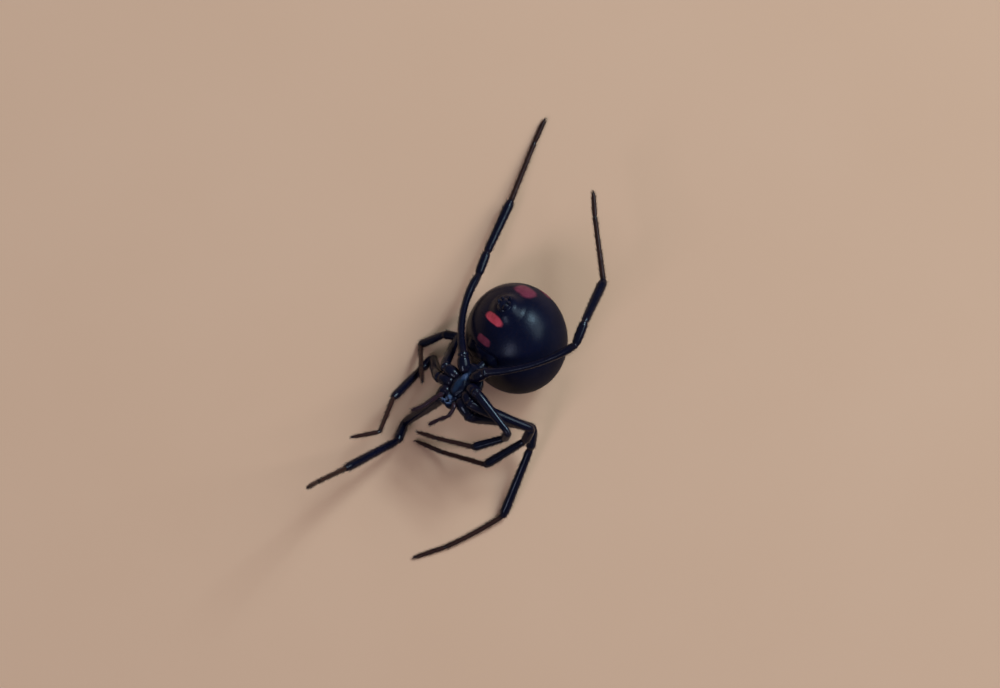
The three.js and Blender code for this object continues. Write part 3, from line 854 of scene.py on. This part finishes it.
class Paint:
    """A material of one glossy shader. What is the same all over is set on the shader's own sockets."""

    def __init__(self, name, **constants):
        self.material = bpy.data.materials.new(name)
        self.material.use_nodes = True
        self.tree = self.material.node_tree
        self.shader = self.tree.nodes["Principled BSDF"]
        for socket, value in constants.items():
            self.shader.inputs[socket.replace("_", " ")].default_value = value
        place = self.node("TexCoord", output="Object")
        self.place = self.node("VectorMath", {"operation": "SCALE"}, {"Vector": place, "Scale": 1000})

    def node(self, kind, settings=None, inputs=None, output=0):
        """Any node, by its type, its settings and the values or links of its sockets."""
        made = self.tree.nodes.new("ShaderNode" + kind)
        for name, value in (settings or {}).items():
            setattr(made, name, value)
        for key, value in (inputs or {}).items():
            self.feed(made.inputs[key], value)
        return Value(self, made.outputs[output])

    def feed(self, socket, value):
        """Link a value to a socket, or set the socket to a number or colour."""
        if isinstance(value, Value):
            self.tree.links.new(value.socket, socket)
        else:
            socket.default_value = value

    def math(self, operation, *values):
        """A Math node on numbers and values."""
        return self.node("Math", {"operation": operation}, dict(enumerate(values)))

    def along(self, axis):
        """How far a point lies along a direction, in millimetres."""
        inputs = {0: self.place, 1: tuple(axis)}
        return self.node("VectorMath", {"operation": "DOT_PRODUCT"}, inputs, "Value")

    def step(self, value, low, high):
        """Zero below low, one above high and smooth in between; low may be the higher one."""
        inputs = {"Value": value, "From Min": low, "From Max": high}
        return self.node("MapRange", {"interpolation_type": "SMOOTHSTEP"}, inputs)

    def noise(self, scale, detail=3.0):
        """Noise with scale grains to the millimetre."""
        inputs = {"Vector": self.place, "Scale": scale, "Detail": detail}
        return self.node("TexNoise", None, inputs, "Fac")

    def cells(self, scale):
        """Distance to the nearest of scattered points, about scale of them to the millimetre."""
        return self.node("TexVoronoi", None, {"Vector": self.place, "Scale": scale}, "Distance")

    def blend(self, part, first, second):
        """Colour that goes from first to second as part goes from zero to one."""
        return self.node("Mix", {"data_type": "RGBA"}, {0: part, 6: first, 7: second}, 2)

    def attribute(self, name):
        """The mesh's own value of that name at each point."""
        return self.node("Attribute", {"attribute_name": name}, None, "Fac")

    def wear(self, height, strength, distance):
        """Bump from a height, where distance is its depth in millimetres."""
        inputs = {"Height": height, "Strength": strength, "Distance": distance * MM}
        return self.node("Bump", None, inputs, "Normal")

    def shade(self, **inputs):
        """Feed the shader what varies over the surface. Returns the finished material."""
        for name, value in inputs.items():
            self.feed(self.shader.inputs[name.replace("_", " ")], value)
        return self.material


def tint(red, green, blue):
    """Linear colour from one as a screen shows it, in steps of 255."""
    level = np.array([red, green, blue]) / 255
    linear = np.where(level < 0.04045, level / 12.92, ((level + 0.055) / 1.055) ** 2.4)
    return (*(float(part) for part in linear), 1.0)


# Marks on the abdomen: degrees forward from the middle of the belly, to its left, half length, half width
HOURGLASS_REAR = (-15.6, 0, 4.4, 12.5)
HOURGLASS_FRONT = (12, -1, 5.2, 10.5)
BACK_SPOTS = ((-64, 3.5, 8.5, 12), (-92, 0, 6, 9), (-118, 0, 6, 7), (-143, 0, 5, 6), (-168, 0, 4, 5),
              (170, 0, 3, 4))
BRIGHT_RED = (tint(166, 34, 52), tint(222, 86, 96))
# Deep red: painted shade on the front half of the hourglass, and the own darker red of the back spots
SHADED_AND_DEEP_RED = (tint(88, 28, 46), tint(132, 54, 70))
# The abdomen is glossy towards the belly and dull towards the back, and turns between these heights, in
# millimetres from its middle towards the back
DULL_FROM, DULL_TO = -2.2, 0.2


def abdomen_paint(name, roughness):
    """Near black with a violet cast, faint mottling, and the red marks of the belly and back; the front half
    of the hourglass is painted a deeper red as shade.
    """
    paint = Paint(name, IOR=1.2)
    forward, left, back = (paint.along(axis) - float(axis @ ABDOMEN.centre) for axis in ABDOMEN.axes)
    ahead = paint.math("ARCTAN2", forward, 0 - back) * (180 / np.pi)
    level = paint.math("SQRT", forward * forward + back * back)
    beside = paint.math("ARCTAN2", left, level) * (180 / np.pi)
    ragged = paint.noise(1.3, 4) - 0.5
    fine = paint.noise(9, 3) - 0.5

    def mark(angle, across, long, wide, edge=0.2):
        """One inside a round-cornered spot with a ragged edge, and zero outside."""
        x = paint.math("WRAP", ahead - angle, 180, -180) / long
        y = (beside - across) / wide
        reach = (paint.math("ABSOLUTE", x) ** 3 + paint.math("ABSOLUTE", y) ** 3) ** (1 / 3)
        return paint.step(reach + ragged * 0.5 + fine * 0.14, 1 + edge, 1 - edge)

    skin = paint.blend(paint.noise(0.8, 4), tint(5, 7, 24), tint(15, 16, 36))
    skin = paint.blend(paint.step(paint.noise(5, 4), 0.5, 0.75) * 0.5, skin, tint(30, 20, 30))
    bright = paint.blend(paint.noise(3, 3), *BRIGHT_RED)
    shaded_and_deep = paint.blend(paint.noise(3, 3), *SHADED_AND_DEEP_RED)
    skin = paint.blend(mark(*HOURGLASS_REAR), skin, bright)
    # The front half of the hourglass in the deep red, as painted shade
    skin = paint.blend(mark(*HOURGLASS_FRONT), skin, shaded_and_deep)
    for back_spot in BACK_SPOTS:
        skin = paint.blend(mark(*back_spot, edge=0.25), skin, shaded_and_deep)
    leather = paint.cells(7) * 0.6 + paint.noise(16, 3) * 0.4
    dull = paint.step(back, DULL_FROM, DULL_TO)
    rough = paint.noise(4, 4) * 0.1 + dull * 0.3 + roughness
    return paint.shade(Base_Color=skin, Roughness=rough, Normal=paint.wear(leather, 0.2, 0.03))


# Painted highlights in slate blue on the underside, along the sternum's ridge, on the knob at its rear, on
# the lip and on the mouth lobes: forward, to each side, half length, half width, colour
PAINTED_HIGHLIGHT_DABS = ((-0.1, 0, 1.2, 0.34, (30, 44, 64)), (-0.85, 0, 0.35, 0.3, (60, 70, 96)),
              (1.12, 0, 0.2, 0.24, (70, 84, 108)), (1.42, 0.18, 0.18, 0.2, (88, 98, 124)))


def body_paint(name, roughness):
    """Black with painted slate blue highlights on the sternum and the mouth parts, and fine pores."""
    paint = Paint(name, Coat_Weight=0.05, Coat_Roughness=0.08, IOR=1.25)
    forward, left, back = (paint.along(axis) - float(axis @ FRONT.centre) for axis in FRONT.axes)
    skin = paint.blend(paint.noise(1.5, 4), tint(7, 9, 24), tint(18, 18, 36))
    ragged = paint.noise(2.5, 4) - 0.5
    # Each dab lightens the skin towards slate blue as a painted highlight, on the belly side only
    for place, across, long, wide, shade in PAINTED_HIGHLIGHT_DABS:
        x = (forward - place) / long
        y = (paint.math("ABSOLUTE", left) - across) / wide
        reach = paint.math("SQRT", x * x + y * y) + ragged * 2
        skin = paint.blend(paint.step(reach, 1.2, 0.3) * paint.step(back, 0.45, 0.2), skin, tint(*shade))
    rough = paint.noise(5, 3) * 0.14 + roughness
    grain = paint.cells(11) * 0.6 + paint.noise(24, 3) * 0.4
    return paint.shade(Base_Color=skin, Roughness=rough, Normal=paint.wear(grain, 0.2, 0.03))


def limb_paint(name, dark, light, joint, roughness, coat):
    """Skin of a limb: mottled, with another colour at both ends of each segment, and pores."""
    paint = Paint(name, Coat_Weight=coat, Coat_Roughness=0.08, IOR=1.25)
    level = paint.attribute("along")
    ends = paint.step(paint.math("ABSOLUTE", level - 0.5), 0.4, 0.5)
    skin = paint.blend(paint.noise(1.8, 4), dark, light)
    skin = paint.blend(ends * 0.75, skin, joint)
    pores = paint.cells(9) * 0.5 + paint.noise(20, 3) * 0.5
    rough = paint.noise(6, 3) * 0.14 + roughness
    return paint.shade(Base_Color=skin, Roughness=rough, Normal=paint.wear(pores, 0.14, 0.03))


def eye_paint():
    """Dark glassy lenses, a little browner in patches and finely uneven."""
    paint = Paint("eye_lens", Coat_Weight=0.8, Coat_Roughness=0.02, IOR=1.5)
    skin = paint.blend(paint.noise(6, 2), tint(8, 8, 10), tint(30, 22, 20))
    rough = paint.noise(8, 2) * 0.08 + 0.05
    return paint.shade(Base_Color=skin, Roughness=rough, Normal=paint.wear(paint.noise(14, 2), 0.1, 0.01))


def floor_paint():
    """Dull pale card with broad faint patches."""
    paint = Paint("floor_card", IOR=1.45)
    shade = paint.blend(paint.noise(0.05, 4), tint(210, 157, 122), tint(215, 163, 129))
    return paint.shade(Base_Color=shade, Roughness=0.75)


# Assembly

LEG_TINTS = (tint(7, 7, 20), tint(16, 14, 32), tint(24, 16, 26))
PALP_TINTS = (tint(34, 20, 30), tint(58, 30, 36), tint(24, 16, 22))
FOOT_TINTS = (tint(40, 22, 20), tint(62, 34, 28), tint(24, 16, 18))
abdomen_black = abdomen_paint("abdomen_gloss", 0.24)
abdomen_hair = abdomen_paint("abdomen_hair", 0.3)
body_black = body_paint("body_gloss", 0.2)
body_hair = body_paint("body_hair", 0.36)
leg_black = limb_paint("leg_gloss", *LEG_TINTS, 0.15, 0.06)
leg_hair = limb_paint("leg_hair", *LEG_TINTS, 0.36, 0)
foot_brown = limb_paint("foot_gloss", *FOOT_TINTS, 0.22, 0.04)
foot_hair = limb_paint("foot_hair", *FOOT_TINTS, 0.36, 0)
palp_brown = limb_paint("palp_gloss", *PALP_TINTS, 0.28, 0.04)
palp_hair = limb_paint("palp_hair", *PALP_TINTS, 0.36, 0)

abdomen_skin(abdomen_black)
abdomen_setae(abdomen_hair)
spinneret_cluster(body_black)
front_shell(body_black)
body_setae(body_hair)
eye_group(eye_paint())
for side in SIDES:
    jaw(side, body_black)
for name in LEG_POSES:
    node = f"leg_{name[0]}_{name[1]}"
    upper, lower = leg(name, node, leg_black, foot_brown)
    limb_setae(f"{node}_upper", upper, leg_hair)
    limb_setae(f"{node}_lower", lower, foot_hair)
    leg_claws(f"{node}_claws", lower["tarsus"], foot_brown)
for name in PALP_JOINTS:
    limb_setae(f"palp_{name}", palp(name, palp_brown), palp_hair)

# Studio

# In metres: half the floor's width, and the camera's height
FLOOR_REACH = 3
CAMERA_HEIGHT = 1.0
# In millimetres: the camera's sensor, and the height above the floor at which the photograph's scale holds
SENSOR_WIDTH = 36
SCALE_LEVEL = 4.0


def floor():
    """A flat card under the spider."""
    mesh = bpy.data.meshes.new("floor")
    corners = [(x * FLOOR_REACH, y * FLOOR_REACH, 0) for x, y in ((-1, -1), (1, -1), (1, 1), (-1, 1))]
    mesh.from_pydata(corners, [], [(0, 1, 2, 3)])
    mesh.materials.append(floor_paint())
    card = bpy.data.objects.new("floor", mesh)
    bpy.context.scene.collection.objects.link(card)


def softbox(name, toward, distance, size, power, colour):
    """A rectangular light that faces the spider from a direction."""
    light = bpy.data.lights.new(name, "AREA")
    light.shape = "RECTANGLE"
    light.size, light.size_y = size
    light.energy = power
    light.color = colour
    lamp = bpy.data.objects.new(name, light)
    lamp.location = unit(toward) * distance
    lamp.rotation_mode = "QUATERNION"
    lamp.rotation_quaternion = lamp.location.to_track_quat("Z", "Y")
    lamp.visible_camera = False
    bpy.context.scene.collection.objects.link(lamp)


def surroundings(colour, strength):
    """Even light from all sides."""
    world = bpy.data.worlds.new("studio")
    world.use_nodes = True
    background = world.node_tree.nodes["Background"]
    background.inputs["Color"].default_value = (*colour, 1)
    background.inputs["Strength"].default_value = strength
    bpy.context.scene.world = world


def camera():
    """Looks straight down on the middle of the photograph's frame with a long lens."""
    lens = bpy.data.cameras.new("camera")
    frame_width = FRAME_PX[0] / PX_PER_MM
    lens.sensor_width = SENSOR_WIDTH
    lens.lens = SENSOR_WIDTH * (CAMERA_HEIGHT / MM - SCALE_LEVEL) / frame_width
    lens.clip_start, lens.clip_end = 0.01, 10
    eye = bpy.data.objects.new("camera", lens)
    centre = ((FRAME_PX[0] / 2 - ORIGIN_PX[0]) / PX_PER_MM, (ORIGIN_PX[1] - FRAME_PX[1] / 2) / PX_PER_MM)
    eye.location = (centre[0] * MM, centre[1] * MM, CAMERA_HEIGHT)
    bpy.context.scene.collection.objects.link(eye)
    bpy.context.scene.camera = eye


floor()
softbox("wide_softbox", (0.57, 0.36, 0.74), 0.5, (0.44, 0.3), 2.2, (0.66, 0.86, 1.0))
softbox("upper_softbox", (0.42, 0.56, 0.71), 0.6, (0.11, 0.12), 1.6, (0.5, 0.8, 1.0))
softbox("lower_softbox", (-0.45, -0.48, 0.73), 0.6, (0.14, 0.24), 1.0, (0.66, 0.74, 1.0))
surroundings((0.75, 0.84, 1.0), 0.16)
bpy.context.scene.view_settings.view_transform = "Standard"
camera()
